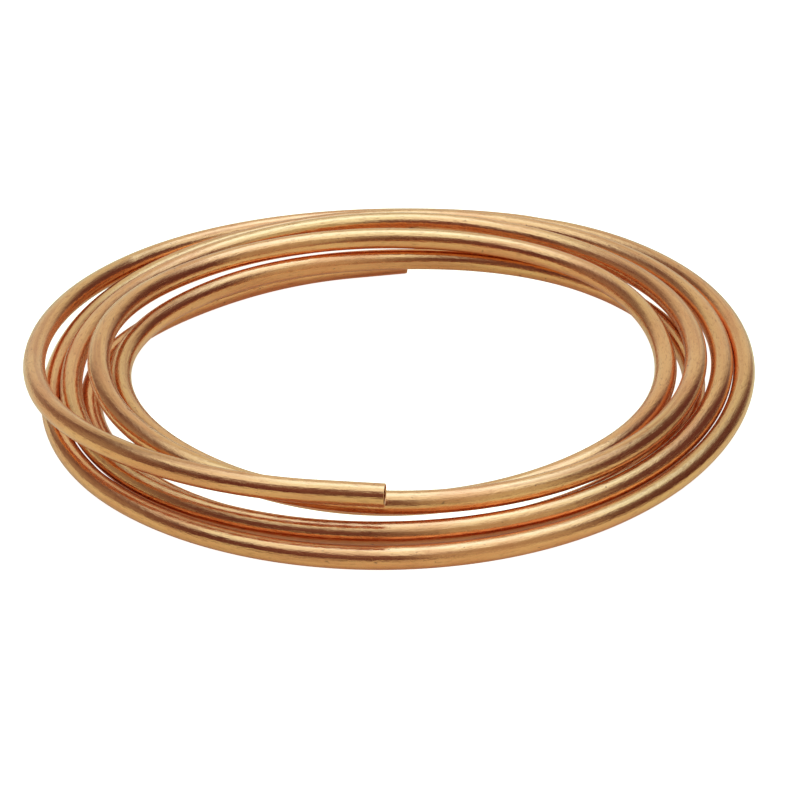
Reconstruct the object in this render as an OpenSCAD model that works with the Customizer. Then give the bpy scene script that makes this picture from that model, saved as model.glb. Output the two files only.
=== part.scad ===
// Copper tube coil: soft copper tube wound into a loose flat coil, lying on the floor.
// One continuous hollow tube, about five and a half turns, cut square at both ends.
// Millimetres, +Z up, origin on the floor under the middle of the coil. The front is at -Y.

/* [Tube] */
// Outer diameter of the tube
tube_od = 12.7; // [8:0.1:16]
// Wall thickness of the tube
tube_wall = 0.8; // [0.6:0.05:1.2]

/* [Coil] */
// Diameter of the coil, between the middles of an average turn
coil_d = 366; // [300:1:600]
// Length of the straight stretch at each cut end
end_len = 34; // [20:1:45]

/* [Hidden] */
COPPER = [0.80, 0.52, 0.34];
SIDES = 12;           // sides of the bent tube's section
STEPS = 6;            // rings in each eighth of a turn
LEAD = 2;             // straight lead at each end of the bent tube, half of it inside the straight end
INSET = 0.02;         // how far the lead stays within the straight end's wall, on both faces
BENT = [0.26, 43.8]; // where the bent tube starts and stops, in eighths of a turn

// The route, an eighth of a turn at a time: one row a turn, wound clockwise seen from above.
// Columns: front, front left, left, back left, back, back right, right, front right.
// How far the tube lies outside the average turn, in tube diameters
OUT = [
    [ 0.4,  1.3,  1.7,  2.3,  2.3,  2.2,  1.6,  1.2],
    [ 1.6,  1.5,  0.9,  1.2,  1.3,  1.1,  0.6,  0.2],
    [ 0.3,  0.5,  0.0,  0.1,  0.3, -0.1, -0.6, -0.6],
    [-0.5, -0.6, -1.4, -2.1, -2.8, -1.9, -2.0, -1.7],
    [-1.9, -2.2, -2.2, -2.9, -2.9, -1.3, -0.7, -0.8],
    [-0.7, -0.5, -0.9, -2.0, -2.2]];
// How high the middle of the tube lies above the floor, in tube diameters
HIGH = [
    [ 3.3,  3.3,  2.2,  1.4,  1.0,  1.3,  1.3,  0.8],
    [ 0.9,  1.0,  1.0,  1.2,  1.4,  1.6,  1.6,  1.2],
    [ 1.3,  1.4,  1.6,  1.6,  1.7,  1.7,  2.0,  2.0],
    [ 2.3,  2.8,  3.0,  2.4,  2.3,  1.9,  1.7,  1.7],
    [ 1.4,  1.6,  1.7,  1.5,  1.2,  0.9,  0.8,  0.6],
    [ 0.6,  0.7,  0.8,  0.5,  0.5]];
out_all = [for (turn = OUT) each turn];
high_all = [for (turn = HIGH) each turn];

// A smooth curve through the values v, at place u along them
function curve(v, u) =
    let (k = min(floor(u), len(v) - 2), t = u - k,
         a = v[max(k - 1, 0)], b = v[k], c = v[k + 1], d = v[min(k + 2, len(v) - 1)])
    b + t * ((c - a) / 2 + t * (a - 2.5 * b + 2 * c - d / 2 + t * (1.5 * (b - c) + (d - a) / 2)));

// The middle of the tube at place u, in eighths of a turn from the front
function middle(u) =
    let (r = coil_d / 2 + tube_od * curve(out_all, u), turned = 45 * u - 90)
    [-r * cos(turned), r * sin(turned), tube_od * curve(high_all, u)];

function unit(v) = v / norm(v);
// Direction of the tube at u, then the direction across it and the one over it
function along(u) = unit(middle(u + 0.01) - middle(u - 0.01));
function across(u) = unit(cross(along(u), [0, 0, 1]));
function over(u) = cross(across(u), along(u));

// A ring of points round the tube's middle, moved on by shift along the tube
function ring(u, r, shift) =
    [for (i = [0:SIDES - 1]) let (a = 360 * i / SIDES)
        middle(u) + along(u) * shift + r * (cos(a) * across(u) + sin(a) * over(u))];

// Radius of the section's corners that gives the polygon the area of a circle of radius r
function corner_r(r) = r * sqrt(2 * PI / (SIDES * sin(360 / SIDES)));

ring_count = round((BENT[1] - BENT[0]) * STEPS);
function place(i) = BENT[0] + (BENT[1] - BENT[0]) * i / ring_count;
// The rings of one wall surface, with corners at radius r: a straight lead in, the bends, and a
// straight lead out. The leads have their corners at lead_r, and run inside the straight ends' walls.
function rings(r, lead_r) = [
    each ring(BENT[0], lead_r, -LEAD),
    each ring(BENT[0], lead_r, 0),
    for (i = [1:ring_count - 1]) each ring(place(i), r, 0),
    each ring(BENT[1], lead_r, 0),
    each ring(BENT[1], lead_r, LEAD)];

tube_r = tube_od / 2;
bore_r = tube_r - tube_wall;
outer_points = rings(corner_r(tube_r), tube_r - INSET);
inner_points = rings(corner_r(bore_r), (bore_r + INSET) / cos(180 / SIDES));
per_wall = len(outer_points);

// Puts the middle of the coil's box over the origin, and its underside on the floor
box_low = [for (k = [0:2]) min([for (p = outer_points) p[k]])];
box_high = [for (k = [0:2]) max([for (p = outer_points) p[k]])];
to_origin = [-(box_low[0] + box_high[0]) / 2, -(box_low[1] + box_high[1]) / 2, -box_low[2]];

// Corner numbers of the wall's faces: outside, bore, and the ring that closes each end
function next(j) = (j + 1) % SIDES;
wall_faces = [
    for (i = [0:per_wall / SIDES - 2], j = [0:SIDES - 1]) let (a = i * SIDES, b = a + SIDES)
        each [[a + j, b + next(j), b + j], [a + j, a + next(j), b + next(j)]],
    for (i = [0:per_wall / SIDES - 2], j = [0:SIDES - 1])
        let (a = per_wall + i * SIDES, b = a + SIDES)
        each [[a + j, b + j, b + next(j)], [a + j, b + next(j), a + next(j)]]];
last = per_wall - SIDES;
end_faces = [for (j = [0:SIDES - 1]) each [
    [j, per_wall + next(j), next(j)], [j, per_wall + j, per_wall + next(j)],
    [last + j, last + next(j), per_wall + last + next(j)],
    [last + j, per_wall + last + next(j), per_wall + last + j]]];

module bent_tube() {
    polyhedron(points = concat(outer_points, inner_points), faces = concat(wall_faces, end_faces));
}

// A straight hollow end that starts in the lead at place u and points the way heading says, 1 or -1
module straight_end(u, heading) {
    z = along(u) * heading;
    x = across(u);
    y = cross(z, x);
    p = middle(u) + z * LEAD / 2;
    multmatrix([[x[0], y[0], z[0], p[0]], [x[1], y[1], z[1], p[1]], [x[2], y[2], z[2], p[2]]])
        difference() {
            cylinder(r = tube_r, h = end_len, $fn = 96);
            translate([0, 0, -1])
                cylinder(r = bore_r, h = end_len + 2, $fn = 96);
        }
}

module tube() {
    color(COPPER) translate(to_origin) {
        bent_tube();
        straight_end(BENT[0], -1);
        straight_end(BENT[1], 1);
    }
}

tube();
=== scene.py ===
import math

import bpy
import numpy as np
from mathutils import Matrix, Vector


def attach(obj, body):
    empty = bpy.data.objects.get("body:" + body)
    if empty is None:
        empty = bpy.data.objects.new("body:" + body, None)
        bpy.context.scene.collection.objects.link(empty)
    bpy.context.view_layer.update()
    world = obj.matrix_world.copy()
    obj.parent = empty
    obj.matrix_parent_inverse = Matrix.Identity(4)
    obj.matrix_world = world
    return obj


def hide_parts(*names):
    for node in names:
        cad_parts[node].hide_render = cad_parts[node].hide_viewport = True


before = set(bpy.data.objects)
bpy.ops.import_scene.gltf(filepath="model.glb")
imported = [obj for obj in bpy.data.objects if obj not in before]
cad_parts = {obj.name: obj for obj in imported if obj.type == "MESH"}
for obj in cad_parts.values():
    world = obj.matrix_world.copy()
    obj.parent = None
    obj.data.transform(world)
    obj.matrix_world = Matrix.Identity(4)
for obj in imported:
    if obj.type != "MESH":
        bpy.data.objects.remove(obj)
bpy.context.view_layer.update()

# ---- the tube, in metres: the same sizes and route as the part's source ----
TUBE_D = 0.0127
TUBE_R = TUBE_D / 2
WALL = 0.0008
COIL_R = 0.366 / 2
END_LEN = 0.034
LEAD = 0.002          # straight lead at each end of the bent stretch
INSET = 0.00002       # how far the lead's corners stay within the straight end's wall
BENT = (0.26, 43.8)   # where the bent stretch starts and stops, in eighths of a turn
# Rows are turns; columns run from the front, clockwise seen from above, an eighth of a turn apart.
# How far the tube lies outside the average turn, in tube diameters
OUT = (
    (0.4, 1.3, 1.7, 2.3, 2.3, 2.2, 1.6, 1.2),
    (1.6, 1.5, 0.9, 1.2, 1.3, 1.1, 0.6, 0.2),
    (0.3, 0.5, 0.0, 0.1, 0.3, -0.1, -0.6, -0.6),
    (-0.5, -0.6, -1.4, -2.1, -2.8, -1.9, -2.0, -1.7),
    (-1.9, -2.2, -2.2, -2.9, -2.9, -1.3, -0.7, -0.8),
    (-0.7, -0.5, -0.9, -2.0, -2.2))
# How high the middle of the tube lies above the floor, in tube diameters
HIGH = (
    (3.3, 3.3, 2.2, 1.4, 1.0, 1.3, 1.3, 0.8),
    (0.9, 1.0, 1.0, 1.2, 1.4, 1.6, 1.6, 1.2),
    (1.3, 1.4, 1.6, 1.6, 1.7, 1.7, 2.0, 2.0),
    (2.3, 2.8, 3.0, 2.4, 2.3, 1.9, 1.7, 1.7),
    (1.4, 1.6, 1.7, 1.5, 1.2, 0.9, 0.8, 0.6),
    (0.6, 0.7, 0.8, 0.5, 0.5))

# How finely the part's own mesh is cut: sides of its section, and rings in each eighth of a turn
CAD_SIDES = 12
CAD_STEPS = 6

# ---- mesh fineness ----
SIDES = 36
STEPS = 44            # rings in each eighth of a turn, outside
BORE_STEPS = 10       # and inside the bore
END_RINGS = 12        # rings along each straight end
STRIPS = 13           # strips that the map for baking cuts each wall into
BORE_SHARE = 0.1      # the bore's share of that map

# ---- small shapes, in metres ----
EDGE = 0.00015        # reach of the rounding at a cut edge, along the tube
NEAR = 0.0005         # how far from the cut face the wall is plain again
FADE = 0.05           # length over which the tube grows oval beyond its round ends

# ---- dents, each: place in eighths of a turn, side in degrees, depth, half length, half width ----
# The side is measured round the tube from the outer side of the coil, over the top.
DENTS = (
    (2.9, 60, 0.00045, 0.009, 0.004),
    (9.2, 35, 0.00030, 0.012, 0.005),
    (14.3, 70, 0.00035, 0.010, 0.004),
    (25.3, 60, 0.00050, 0.008, 0.004),
    (20.5, 110, 0.00030, 0.012, 0.005),
    (7.4, 40, 0.00030, 0.014, 0.005),
    (8.3, 20, 0.00025, 0.008, 0.004),
    (36.6, 100, 0.00035, 0.010, 0.004),
    (4.6, 120, 0.00030, 0.012, 0.005))


# ---- the route ----
def flat(rows):
    return np.array([value for row in rows for value in row])


def curve(values, u):
    """A smooth curve through the values, at places u along them."""
    k = np.clip(np.floor(u).astype(int), 0, len(values) - 2)
    t = u - k
    a, b = values[np.maximum(k - 1, 0)], values[k]
    c, d = values[k + 1], values[np.minimum(k + 2, len(values) - 1)]
    bend = a - 2.5 * b + 2 * c - d / 2 + t * (1.5 * (b - c) + (d - a) / 2)
    return b + t * ((c - a) / 2 + t * bend)


def middle(u):
    """The middle of the tube at places u, in eighths of a turn from the front."""
    u = np.asarray(u, float)
    r = COIL_R + TUBE_D * curve(flat(OUT), u)
    turned = np.radians(45 * u - 90)
    return np.stack([-r * np.cos(turned), r * np.sin(turned), TUBE_D * curve(flat(HIGH), u)], 1)


def unit(v):
    return v / np.linalg.norm(v, axis=1)[:, None]


def axes(u):
    """Directions along the tube, across it and over it."""
    u = np.asarray(u, float)
    along = unit(middle(u + 0.01) - middle(u - 0.01))
    across = unit(np.cross(along, [0.0, 0.0, 1.0]))
    return along, across, np.cross(across, along)


def bent_places(steps):
    count = round((BENT[1] - BENT[0]) * steps)
    return BENT[0] + (BENT[1] - BENT[0]) * np.arange(count + 1) / count


def ring_points(at, across, over, radius, sides):
    """Rings of points; radius is one number, or one for each ring, or one for each ring and side."""
    turn = 2 * np.pi * np.arange(sides) / sides
    reach = np.cos(turn)[None, :, None] * across[:, None] + np.sin(turn)[None, :, None] * over[:, None]
    radius = np.asarray(radius, float)
    if radius.ndim < 2:
        radius = radius.reshape(-1, 1)
    radius = np.broadcast_to(radius, (len(at), sides))
    return at[:, None] + radius[:, :, None] * reach


def cad_shift():
    """What the CAD part is moved by, so that its box stands over the origin."""
    u = bent_places(CAD_STEPS)
    along, across, over = axes(u)
    at = middle(u)
    side_angle = 2 * math.pi / CAD_SIDES
    corner = TUBE_R * math.sqrt(side_angle / math.sin(side_angle))
    radius = np.full(len(u), corner)
    radius[[0, -1]] = TUBE_R - INSET
    at = np.concatenate([at[:1] - along[:1] * LEAD, at, at[-1:] + along[-1:] * LEAD])
    across = np.concatenate([across[:1], across, across[-1:]])
    over = np.concatenate([over[:1], over, over[-1:]])
    radius = np.concatenate([radius[:1], radius, radius[-1:]])
    rings = ring_points(at, across, over, radius, CAD_SIDES)
    low, high = rings.min((0, 1)), rings.max((0, 1))
    return -np.array([(low[0] + high[0]) / 2, (low[1] + high[1]) / 2, low[2]])


SHIFT = cad_shift()


def stations(steps, end_at):
    """The places of the whole tube's rings, from the front end to the back one.

    Gives eighths of a turn, middles, directions along, across and over the tube, and distances from
    the first ring. end_at are the distances from each cut face at which the straight ends have rings.
    """
    u = bent_places(steps)
    along, across, over = axes(u)
    at = middle(u)
    out = LEAD / 2 + END_LEN - np.asarray(end_at)
    first = at[0] + out[:, None] * -along[0]
    last = at[-1] + out[::-1, None] * along[-1]
    n = len(out)

    def padded(v):
        return np.concatenate([np.repeat(v[:1], n, 0), v, np.repeat(v[-1:], n, 0)])

    at = np.concatenate([first, at, last]) + SHIFT
    run = np.concatenate([[0], np.cumsum(np.linalg.norm(np.diff(at, axis=0), axis=1))])
    return padded(u), at, padded(along), padded(across), padded(over), run


# ---- the mesh ----
def soft_noise(run, wave, seed):
    """A smooth random value along the tube, about -1 to 1, whose bumps are about wave long."""
    knots = np.random.default_rng(seed).uniform(-1, 1, int(run[-1] / wave) + 4)
    return curve(knots, run / wave + 1)


def wall_radius(u, run):
    """The outer radius at each ring and side: round, but a little oval here and there, and dented."""
    turn = 2 * np.pi * np.arange(SIDES) / SIDES
    fade = np.clip((np.minimum(run, run[-1] - run) - END_LEN) / FADE, 0, 1)[:, None]
    # soft_noise takes the length of its bumps in metres, and its seed
    oval_size = 0.010 * soft_noise(run, 0.16, 1)[:, None]
    oval_turn = 2 * soft_noise(run, 0.4, 2)[:, None]
    lobe_size = 0.004 * soft_noise(run, 0.07, 3)[:, None]
    lobe_turn = 4 * soft_noise(run, 0.3, 4)[:, None]
    uneven = oval_size * np.cos(2 * (turn - oval_turn)) + lobe_size * np.cos(3 * turn + lobe_turn)
    radius = TUBE_R * (1 + fade * uneven)
    for place, side, depth, half_len, half_wide in DENTS:
        centre = np.interp(place, u[END_RINGS:-END_RINGS], run[END_RINGS:-END_RINGS])
        off_side = (turn - math.radians(side) + np.pi) % (2 * np.pi) - np.pi
        away = ((run[:, None] - centre) / half_len) ** 2 + (TUBE_R * off_side / half_wide) ** 2
        radius -= depth * np.exp(-2 * away)
    return radius


def tube_mesh():
    """One closed skin: along the outside, round one cut edge, back along the bore, round the other."""
    along_end = np.linspace(NEAR, END_LEN + LEAD / 2, END_RINGS - 1)[1:-1]
    u, at, along, across, over, run = stations(
        STEPS, np.concatenate([[EDGE, NEAR], along_end, [END_LEN]]))
    run = run + EDGE
    outside = ring_points(at, across, over, wall_radius(u, run), SIDES)

    bore_end_at = (0.0001, NEAR, 0.02)
    _, bore_at, _, bore_across, bore_over, bore_run = stations(BORE_STEPS, bore_end_at)
    bore_r = TUBE_R - WALL
    inside = ring_points(bore_at, bore_across, bore_over, bore_r, SIDES)[::-1]
    inside_run = (bore_run + bore_end_at[0])[::-1]

    def lip(k, heading):
        """The cut face and its rounded edges, from the outside inwards."""
        out = heading * along[k]
        face = at[[k]] + out * EDGE
        # each: how far behind the cut face, and the radius
        steps = ((0.00004, TUBE_R - 0.00005), (0.0, TUBE_R - 0.00015), (0.0, TUBE_R - 0.0003),
                 (0.0, bore_r + 0.00025), (0.0, bore_r + 0.0001))
        return np.concatenate([ring_points(face - out * back, across[[k]], over[[k]], radius, SIDES)
                               for back, radius in steps])

    last_lip, first_lip = lip(-1, 1), lip(0, -1)[::-1]
    rings = np.concatenate([first_lip, outside, last_lip, inside])
    runs = np.concatenate([np.zeros(len(first_lip)), run, np.full(len(last_lip), run[-1]), inside_run])
    count = len(rings)
    i = np.repeat(np.arange(count), SIDES)
    j = np.tile(np.arange(SIDES), count)
    a, b = i * SIDES + j, i * SIDES + (j + 1) % SIDES
    up = ((i + 1) % count) * SIDES
    faces = np.stack([a, b, up + (j + 1) % SIDES, up + j], 1)

    mesh = bpy.data.meshes.new("coiled_tube")
    mesh.from_pydata(rings.reshape(-1, 3).tolist(), [], faces.tolist())
    mesh.update()
    mesh.shade_smooth()
    # Distance along the tube and place across its section: what the drawn streaks follow.
    turn = 2 * np.pi * np.arange(SIDES) / SIDES
    flow = np.empty((count, SIDES, 3))
    flow[:, :, 0] = runs[:, None]
    flow[:, :, 1] = TUBE_R * np.cos(turn)
    flow[:, :, 2] = TUBE_R * np.sin(turn)
    layer = mesh.attributes.new("flow", "FLOAT_VECTOR", "POINT")
    layer.data.foreach_set("vector", flow.reshape(-1))
    lay_out(mesh, rings, count - len(inside))
    return mesh


def lay_out(mesh, rings, bore_from):
    """A map for baking: the skin cut into strips, tall ones for the outside, thin for the bore."""
    count = len(rings)
    steps = np.linalg.norm(np.roll(rings[:, 0], -1, 0) - rings[:, 0], axis=1)
    travel = np.concatenate([[0], np.cumsum(steps)])
    in_bore = np.arange(count) >= bore_from
    start = np.where(in_bore, travel[bore_from], 0)
    length = np.where(in_bore, travel[-1] - travel[bore_from], travel[bore_from]) / STRIPS
    strip = np.minimum((travel[:-1] - start) // length, STRIPS - 1)
    tall = np.where(in_bore, BORE_SHARE, 1 - BORE_SHARE) / STRIPS
    low = np.where(in_bore, 1 - BORE_SHARE, 0) + strip * tall
    # A narrow margin stays free round each strip.
    ends = [0.01 + 0.97 * (t - start - strip * length) / length for t in (travel[:-1], travel[1:])]
    sides = low[:, None] + tall[:, None] * (0.04 + 0.92 * np.arange(SIDES + 1) / SIDES)
    places = np.empty((count, SIDES, 4, 2))
    places[:, :, (0, 1), 0] = ends[0][:, None, None]
    places[:, :, (2, 3), 0] = ends[1][:, None, None]
    places[:, :, (0, 3), 1] = sides[:, :-1, None]
    places[:, :, (1, 2), 1] = sides[:, 1:, None]
    layer = mesh.uv_layers.new(name="OFBake")
    layer.data.foreach_set("uv", places.reshape(-1))


# A Mix node's sockets for colours: its two inputs and its result
MIX_A, MIX_B, MIX_OUT = 6, 7, 2


# ---- material ----
def copper():
    mat = bpy.data.materials.new("bare_copper")
    mat.use_nodes = True
    nodes, links = mat.node_tree.nodes, mat.node_tree.links
    bsdf = nodes["Principled BSDF"]
    bsdf.inputs["Metallic"].default_value = 1.0
    flow = nodes.new("ShaderNodeAttribute")
    flow.attribute_name = "flow"

    def noise(scale, detail=2.0, roughness=0.5, seed=0.0):
        """Noise whose features are 1/scale metres long, one number each for along, across and over."""
        stretch = nodes.new("ShaderNodeVectorMath")
        stretch.operation = "MULTIPLY"
        stretch.inputs[1].default_value = scale
        links.new(flow.outputs["Vector"], stretch.inputs[0])
        move = nodes.new("ShaderNodeVectorMath")
        move.operation = "ADD"
        move.inputs[1].default_value = (seed, seed, seed)
        links.new(stretch.outputs[0], move.inputs[0])
        tex = nodes.new("ShaderNodeTexNoise")
        tex.inputs["Scale"].default_value = 1.0
        tex.inputs["Detail"].default_value = detail
        tex.inputs["Roughness"].default_value = roughness
        links.new(move.outputs[0], tex.inputs["Vector"])
        return tex.outputs["Fac"]

    def remap(value, low, high, to_low=0.0, to_high=1.0):
        node = nodes.new("ShaderNodeMapRange")
        node.interpolation_type = "SMOOTHSTEP"
        for name, number in (("From Min", low), ("From Max", high),
                             ("To Min", to_low), ("To Max", to_high)):
            node.inputs[name].default_value = number
        links.new(value, node.inputs["Value"])
        return node.outputs["Result"]

    def mix(fac, one, other):
        node = nodes.new("ShaderNodeMix")
        node.data_type = "RGBA"
        links.new(fac, node.inputs[0])
        for socket, value in ((node.inputs[MIX_A], one), (node.inputs[MIX_B], other)):
            if isinstance(value, tuple):
                socket.default_value = value
            else:
                links.new(value, socket)
        return node.outputs[MIX_OUT]

    def maths(operation, one, other):
        node = nodes.new("ShaderNodeMath")
        node.operation = operation
        for socket, value in ((node.inputs[0], one), (node.inputs[1], other)):
            if isinstance(value, (int, float)):
                socket.default_value = value
            else:
                links.new(value, socket)
        return node.outputs[0]

    draw_lines = noise((3, 700, 700), 3.0, 0.6)
    broad_lines = noise((7, 230, 230), 2.0, 0.5, 7.0)
    brushing = noise((190, 850, 850), 3.0, 0.6, 13.0)
    mottle = noise((22, 90, 90), 3.0, 0.6, 3.0)
    patches = noise((6, 30, 30), 2.0, 0.5, 11.0)
    specks = noise((240, 420, 420), 2.0, 0.6, 5.0)
    ticks = noise((45, 900, 900), 2.0, 0.5, 9.0)

    colour = mix(remap(mottle, 0.35, 0.68), (0.93, 0.435, 0.20, 1), (0.84, 0.335, 0.15, 1))
    colour = mix(remap(patches, 0.45, 0.65), colour, (0.87, 0.435, 0.19, 1))
    colour = mix(remap(broad_lines, 0.52, 0.72, 0.0, 0.6), colour, (0.60, 0.22, 0.10, 1))
    colour = mix(remap(brushing, 0.50, 0.74, 0.0, 0.55), colour, (0.54, 0.20, 0.09, 1))
    colour = mix(remap(specks, 0.69, 0.77, 0.0, 0.7), colour, (0.22, 0.08, 0.05, 1))
    links.new(colour, bsdf.inputs["Base Color"])

    rough = maths("ADD", remap(draw_lines, 0.3, 0.7, 0.15, 0.23), remap(mottle, 0.4, 0.75, 0.0, 0.10))
    rough = maths("ADD", rough, remap(ticks, 0.66, 0.72, 0.0, 0.12))
    links.new(rough, bsdf.inputs["Roughness"])

    height = maths("ADD", maths("MULTIPLY", draw_lines, 0.9), maths("MULTIPLY", broad_lines, 1.3))
    height = maths("ADD", height, maths("MULTIPLY", brushing, 1.4))
    height = maths("ADD", height, maths("MULTIPLY", mottle, 2.2))
    bump = nodes.new("ShaderNodeBump")
    bump.inputs["Strength"].default_value = 0.5
    bump.inputs["Distance"].default_value = 0.0002
    links.new(height, bump.inputs["Height"])
    links.new(bump.outputs[0], bsdf.inputs["Normal"])
    return mat


# ---- studio ----
def floor():
    bpy.ops.mesh.primitive_plane_add(size=40, location=(0, 0, 0))
    plane = bpy.context.object
    plane.name = "studio_floor"
    mat = bpy.data.materials.new("pale_floor")
    mat.use_nodes = True
    nodes, links = mat.node_tree.nodes, mat.node_tree.links
    bsdf = nodes["Principled BSDF"]
    bsdf.inputs["Roughness"].default_value = 0.9
    bsdf.inputs["Emission Color"].default_value = (1, 1, 1, 1)
    # Painted shade: the floor is painted darker towards the back right, so the tube mirrors a darker,
    # shaded floor there.
    spot = nodes.new("ShaderNodeTexCoord")
    toward_painted_shade = nodes.new("ShaderNodeVectorMath")
    toward_painted_shade.operation = "DOT_PRODUCT"
    toward_painted_shade.inputs[1].default_value = (0.77, 0.64, 0)
    links.new(spot.outputs["Object"], toward_painted_shade.inputs[0])
    shade = nodes.new("ShaderNodeMapRange")
    shade.interpolation_type = "SMOOTHSTEP"
    shade.inputs["From Min"].default_value = 0.18
    shade.inputs["From Max"].default_value = 0.55
    links.new(toward_painted_shade.outputs["Value"], shade.inputs["Value"])
    # painted shade: the pale floor colour is mixed to dark brown towards the back right
    paint = nodes.new("ShaderNodeMix")
    paint.data_type = "RGBA"
    paint.inputs[MIX_A].default_value = (0.88, 0.82, 0.52, 1)
    paint.inputs[MIX_B].default_value = (0.25, 0.20, 0.12, 1)
    links.new(shade.outputs["Result"], paint.inputs[0])
    links.new(paint.outputs[MIX_OUT], bsdf.inputs["Base Color"])
    # The floor looks white, but the tube mirrors it pale grey.
    light_path = nodes.new("ShaderNodeLightPath")
    glow = nodes.new("ShaderNodeMath")
    glow.operation = "MULTIPLY_ADD"
    glow.inputs[1].default_value = 0.84
    glow.inputs[2].default_value = 0.14
    links.new(light_path.outputs["Is Camera Ray"], glow.inputs[0])
    links.new(glow.outputs[0], bsdf.inputs["Emission Strength"])
    plane.data.materials.append(mat)


# The studio round the coil, as soft-edged round panels on a dome, each painted over those before:
# azimuth in degrees from the back, clockwise from above; elevation; radius; softness; colour
PANELS = (
    (0, 12, 36, 12, (0.71, 0.86, 0.74)),       # pale wall behind
    (285, 8, 26, 18, (0.36, 0.35, 0.29)),      # dim wall at the left
    (60, 88, 42, 9, (1.02, 1.48, 1.62)),       # the big soft light overhead
    (20, 68, 18, 11, (1.36, 2.36, 3.25)),       # its brightest part
    (140, 24, 27, 9, (0.57, 0.66, 0.52)),      # weak reflector at the front right
    (200, 42, 18, 10, (0.20, 0.11, 0.10)))     # dark round the camera
DARK = (0.136, 0.066, 0.064)                   # the dome where no panel is


def studio():
    world = bpy.data.worlds.new("studio")
    bpy.context.scene.world = world
    world.use_nodes = True
    nodes, links = world.node_tree.nodes, world.node_tree.links
    coord = nodes.new("ShaderNodeTexCoord")
    colour = None
    for azimuth, elevation, radius, softness, paint in PANELS:
        turn, lift = math.radians(azimuth), math.radians(elevation)
        facing = (math.sin(turn) * math.cos(lift), math.cos(turn) * math.cos(lift), math.sin(lift))
        dot = nodes.new("ShaderNodeVectorMath")
        dot.operation = "DOT_PRODUCT"
        dot.inputs[1].default_value = facing
        links.new(coord.outputs["Generated"], dot.inputs[0])
        angle = nodes.new("ShaderNodeMath")
        angle.operation = "ARCCOSINE"
        links.new(dot.outputs["Value"], angle.inputs[0])
        inside = nodes.new("ShaderNodeMapRange")
        inside.interpolation_type = "SMOOTHSTEP"
        inside.inputs["From Min"].default_value = math.radians(radius + softness)
        inside.inputs["From Max"].default_value = math.radians(radius - softness)
        links.new(angle.outputs[0], inside.inputs["Value"])
        mix = nodes.new("ShaderNodeMix")
        mix.data_type = "RGBA"
        links.new(inside.outputs["Result"], mix.inputs[0])
        if colour is None:
            mix.inputs[MIX_A].default_value = (*DARK, 1)
        else:
            links.new(colour, mix.inputs[MIX_A])
        mix.inputs[MIX_B].default_value = (*paint, 1)
        colour = mix.outputs[MIX_OUT]
    links.new(colour, nodes["Background"].inputs[0])
    bpy.context.scene.view_settings.view_transform = "Standard"


def camera():
    """Looks at the coil from the front, 28.3 degrees above the floor, through a long lens."""
    tilt, roll = math.radians(28.28), math.radians(1.18)
    distance = 140.8 * TUBE_D
    view_width = 36.4964 * TUBE_D    # how much the picture takes in at that distance
    aside, upwards = 0.39234 * TUBE_D, -0.33303 * TUBE_D    # where it aims, off the coil's middle
    data = bpy.data.cameras.new("camera")
    data.sensor_width = 36
    data.lens = data.sensor_width * distance / view_width
    cam = bpy.data.objects.new("camera", data)
    bpy.context.collection.objects.link(cam)
    bpy.context.scene.camera = cam
    back = Vector((0, -math.cos(tilt), math.sin(tilt)))
    right = Vector((1, 0, 0))
    up = back.cross(right)
    turn = Matrix((right, up, back)).transposed().to_4x4() @ Matrix.Rotation(-roll, 4, "Z")
    aim = Vector(SHIFT) + turn.to_3x3() @ Vector((aside, upwards, 0))
    cam.matrix_world = Matrix.Translation(aim + back * distance) @ turn


camera()
tube = bpy.data.objects.new("coiled_tube", tube_mesh())
bpy.context.collection.objects.link(tube)
tube.data.materials.append(copper())
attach(tube, "root")
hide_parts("tube")
floor()
studio()
